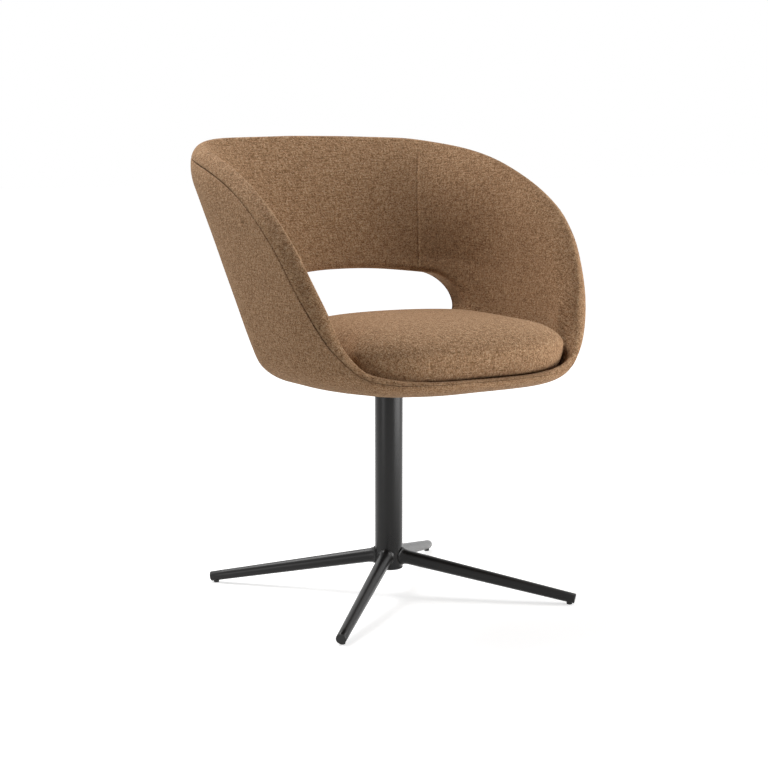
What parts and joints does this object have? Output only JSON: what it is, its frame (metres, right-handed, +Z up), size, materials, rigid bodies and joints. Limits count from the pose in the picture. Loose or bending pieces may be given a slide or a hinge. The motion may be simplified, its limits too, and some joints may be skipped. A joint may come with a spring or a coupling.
{
  "type": "pedestal swivel armchair",
  "caption": "Upholstered bucket armchair with arms that sweep down to a low front lip, an opening in the lower back, a loose seat cushion and a swivelling steel column on four splayed legs",
  "frame": {"origin": "on the floor, on the axis of the column about which the seat turns", "axes": "+Z up along the column, -Y towards the front of the seat, +X to the right of a viewer who stands in front of it"},
  "size_m": [0.5938, 0.6094, 0.7905],
  "materials": {
    "woven_fabric": "brown flecked woven wool, matt",
    "black_steel": "black powder coat, satin",
    "turned_steel": "turned steel",
    "zinc_steel": "zinc plate",
    "black_plastic": "moulded, black",
    "bushing_nylon": "natural nylon",
    "dust_felt": "black non-woven sheet",
    "moulded_ply": "bare moulded plywood",
    "soft_foam": "open-cell foam"
  },
  "bodies": {
    "base": {"column_tube": "black_steel", "column_base_cap": "black_plastic", "upper_bushing": "bushing_nylon", "lower_bushing": "bushing_nylon", "thrust_washer": "turned_steel", "leg_1": "black_steel", "leg_end_plug_1": "black_plastic", "glide_1": "black_plastic", "leg_2": "black_steel", "leg_end_plug_2": "black_plastic", "glide_2": "black_plastic", "leg_3": "black_steel", "leg_end_plug_3": "black_plastic", "glide_3": "black_plastic", "leg_4": "black_steel", "leg_end_plug_4": "black_plastic", "glide_4": "black_plastic"},
    "seat": {"swivel_spindle": "turned_steel", "retaining_washer": "zinc_steel", "retaining_bolt": "zinc_steel", "seat_plate": "black_steel", "shell_core": "moulded_ply", "outer_cover": "woven_fabric", "inner_pad": "woven_fabric", "opening_facing": "woven_fabric", "dust_cover": "dust_felt", "cushion_cover": "woven_fabric", "cushion_foam": "soft_foam", "cushion_board": "moulded_ply", "plate_screw_1": "zinc_steel", "tee_nut_1": "zinc_steel", "cushion_screw_1": "zinc_steel", "plate_screw_2": "zinc_steel", "tee_nut_2": "zinc_steel", "cushion_screw_2": "zinc_steel", "plate_screw_3": "zinc_steel", "tee_nut_3": "zinc_steel", "cushion_screw_3": "zinc_steel", "plate_screw_4": "zinc_steel", "tee_nut_4": "zinc_steel", "cushion_screw_4": "zinc_steel"}
  },
  "joints": [
    {"name": "seat_swivel", "type": "hinge", "parent": "base", "child": "seat", "pos_m": [0, 0, 0.3679], "axis": [0, 0, 1], "continuous": true}
  ]
}
